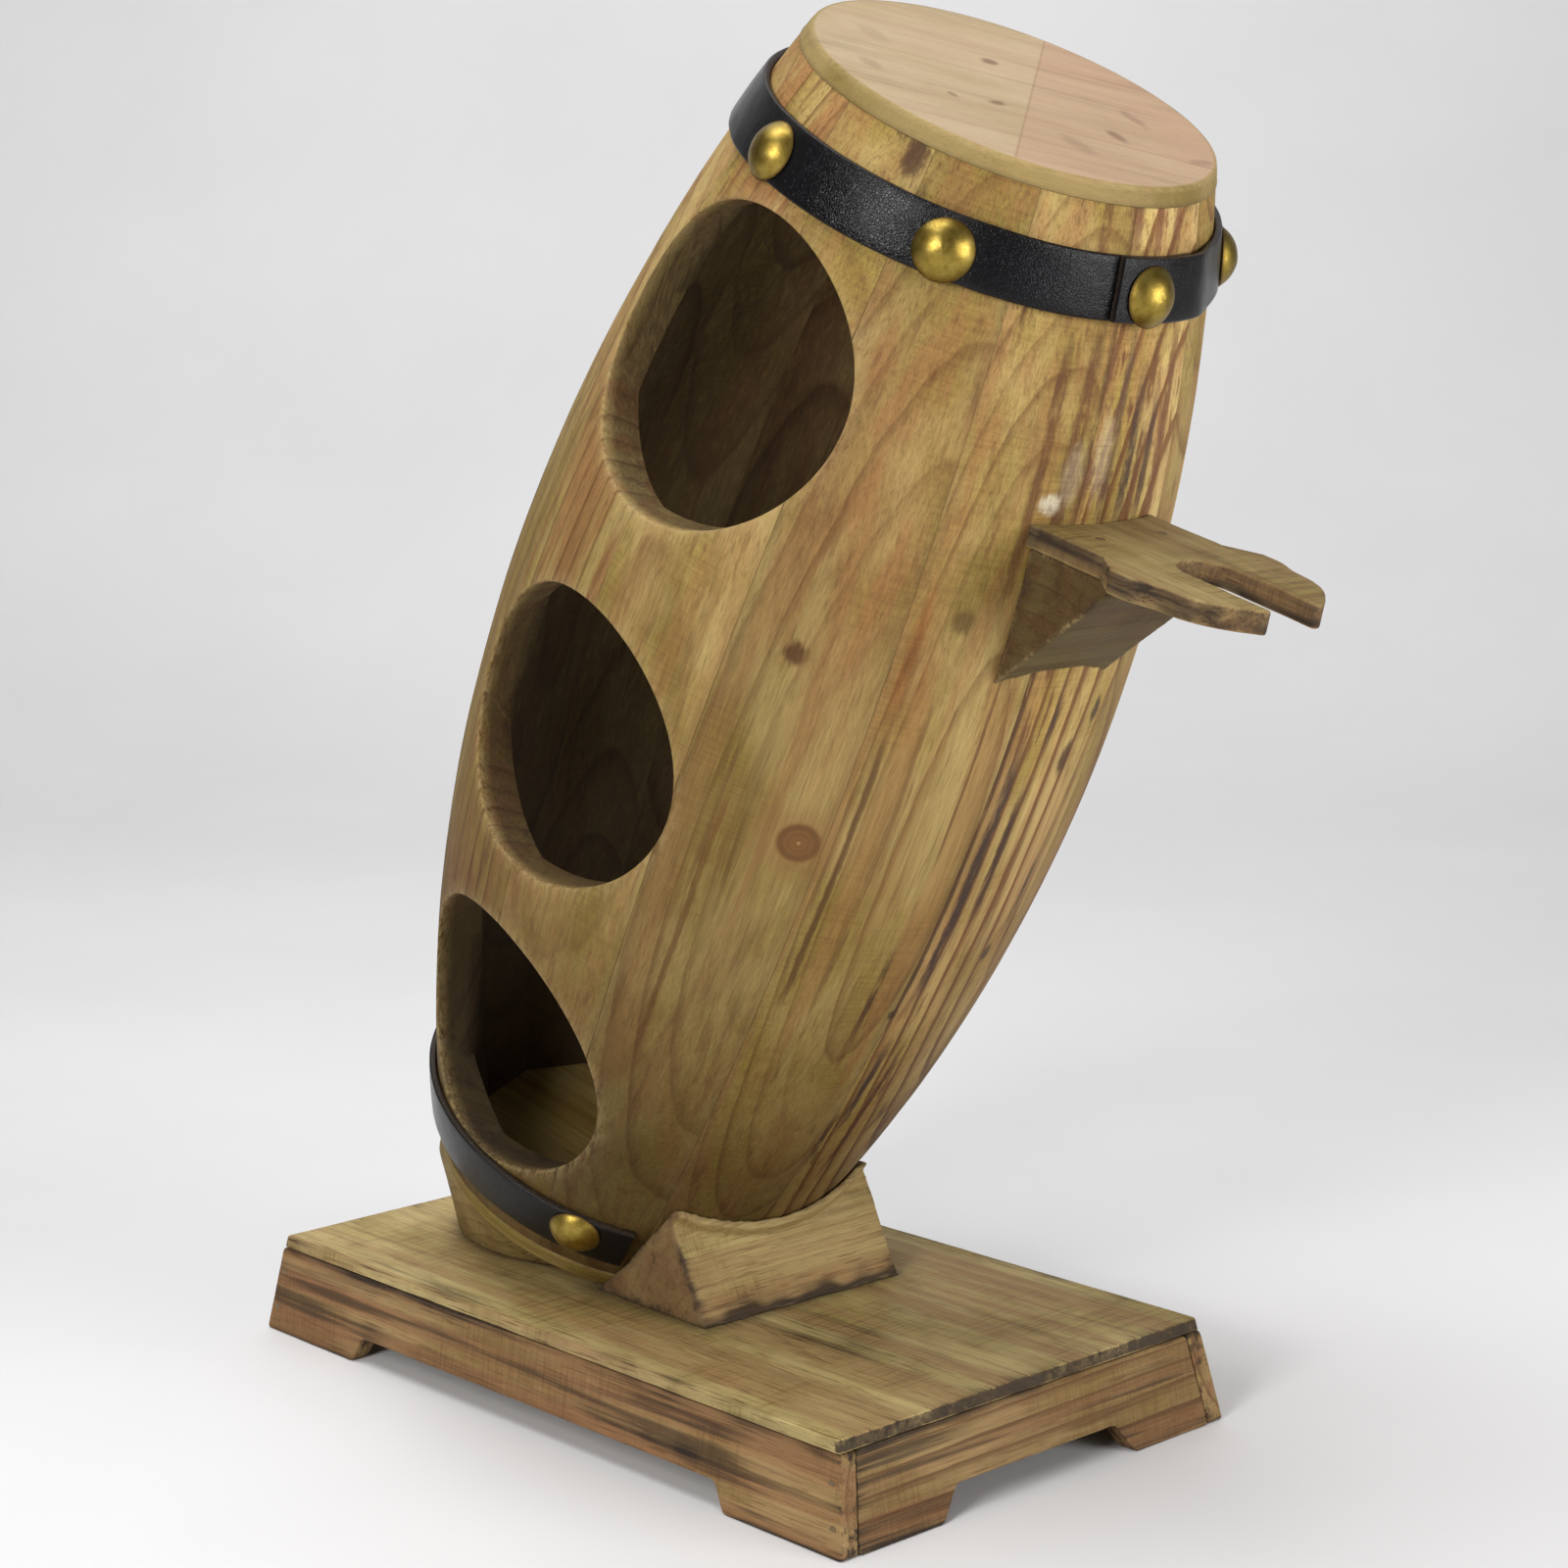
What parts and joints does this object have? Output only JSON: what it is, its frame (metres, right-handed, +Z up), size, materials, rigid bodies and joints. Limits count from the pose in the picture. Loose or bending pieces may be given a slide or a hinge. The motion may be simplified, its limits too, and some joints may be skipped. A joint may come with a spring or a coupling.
{
  "type": "wine rack",
  "caption": "Leaning coopered wooden barrel on a flared plinth, bored crosswise for wine bottles, with leather straps, brass tacks and a slotted shelf that hangs a wine glass by its foot",
  "frame": {"origin": "under the middle of the whole rack's bounding box, on the surface it stands on", "axes": "+Z up; +X along the plinth's long side, the way the barrel leans and the glass shelf points; +Y along the bottles, from neck to base"},
  "size_m": [0.33, 0.1622, 0.375],
  "materials": {
    "barrel_wood": "stained and sanded, matt",
    "head_wood": "stained and sanded, matt",
    "plinth_wood": "stained and sanded, matt",
    "block_wood": "stained, saw-marked, matt",
    "strap_leather": "black, fine pebble, semi-gloss",
    "tack_brass": "antique, satin",
    "brad_steel": "dull",
    "screw_steel": "dull"
  },
  "bodies": {
    "root": {"bottom_head": "head_wood", "cradle_block": "block_wood", "fork_brads": "brad_steel", "fork_corbel": "block_wood", "glass_fork": "block_wood", "heel_block": "block_wood", "lower_strap": "strap_leather", "lower_tacks": "tack_brass", "plinth_panel": "plinth_wood", "plinth_screws": "screw_steel", "skirt_back": "plinth_wood", "skirt_brads": "brad_steel", "skirt_front": "plinth_wood", "skirt_left": "plinth_wood", "skirt_right": "plinth_wood", "stave_01": "barrel_wood", "stave_02": "barrel_wood", "stave_03": "barrel_wood", "stave_04_bottom": "barrel_wood", "stave_04_lower": "barrel_wood", "stave_04_top": "barrel_wood", "stave_04_upper": "barrel_wood", "stave_05": "barrel_wood", "stave_06": "barrel_wood", "stave_07": "barrel_wood", "stave_08": "barrel_wood", "stave_09": "barrel_wood", "stave_10_bottom": "barrel_wood", "stave_10_lower": "barrel_wood", "stave_10_top": "barrel_wood", "stave_10_upper": "barrel_wood", "stave_11_bottom": "barrel_wood", "stave_11_lower": "barrel_wood", "stave_11_top": "barrel_wood", "stave_11_upper": "barrel_wood", "stave_12": "barrel_wood", "stave_13": "barrel_wood", "top_head": "head_wood", "upper_strap": "strap_leather", "upper_tacks": "tack_brass"}
  },
  "joints": []
}
